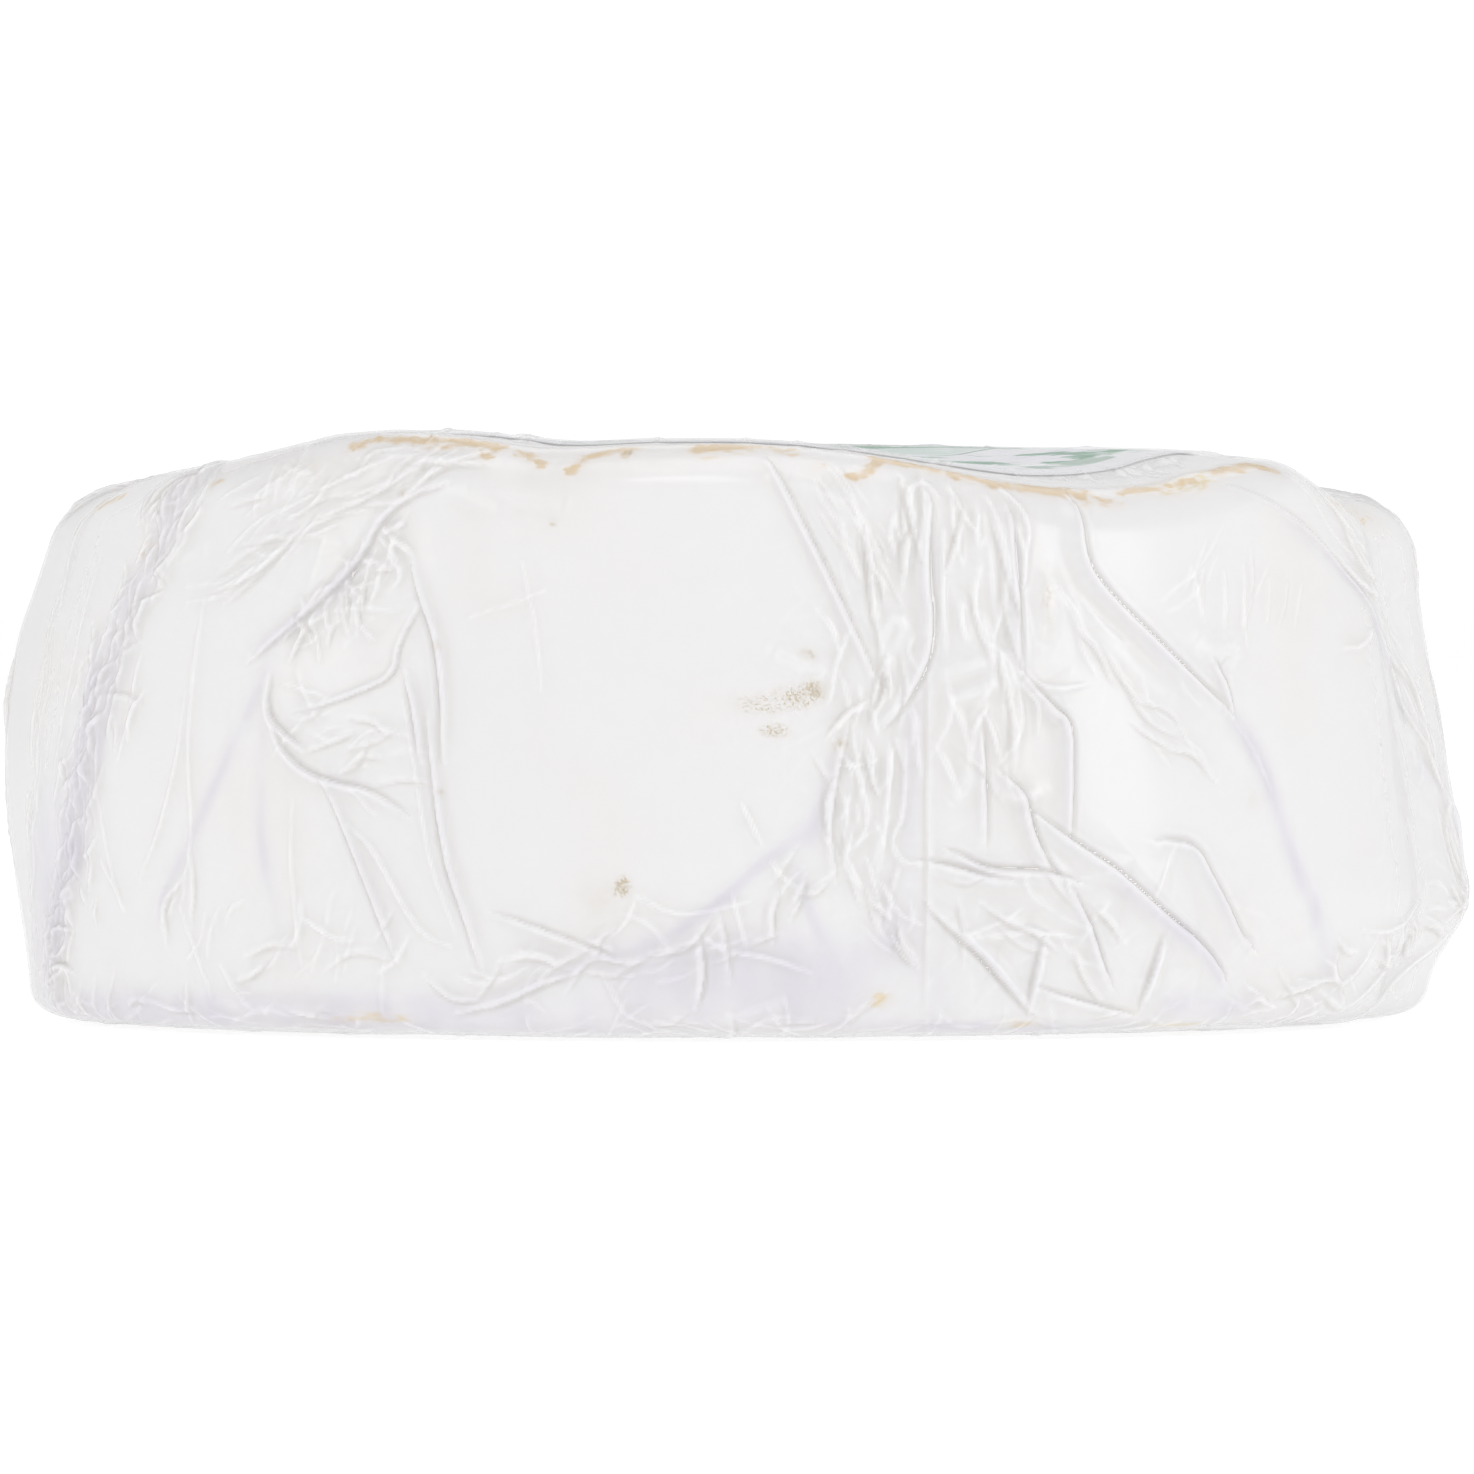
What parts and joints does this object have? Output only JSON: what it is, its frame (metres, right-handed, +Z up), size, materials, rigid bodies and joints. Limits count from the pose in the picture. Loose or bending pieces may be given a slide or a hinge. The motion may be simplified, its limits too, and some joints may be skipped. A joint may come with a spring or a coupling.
{
  "type": "film-wrapped soft cheese wheel",
  "caption": "Whole drum-shaped wheel of soft white-rind cheese, tightly wrapped in clear creased film, with a round paper label on its top.",
  "frame": {"origin": "middle of the flat underside, on the surface that the wheel stands on", "axes": "+Z up along the wheel's height; -Y is the side shown in the picture; +X is to the right in it"},
  "size_m": [0.2006, 0.1964, 0.0811],
  "materials": {
    "filmed_rind": "clear creased film lying tight on matt white rind",
    "label_paper": "matt printed paper, green and white, under the film"
  },
  "bodies": {
    "root": {"wrapped_wheel": "filmed_rind", "paper_label": "label_paper"}
  },
  "joints": []
}
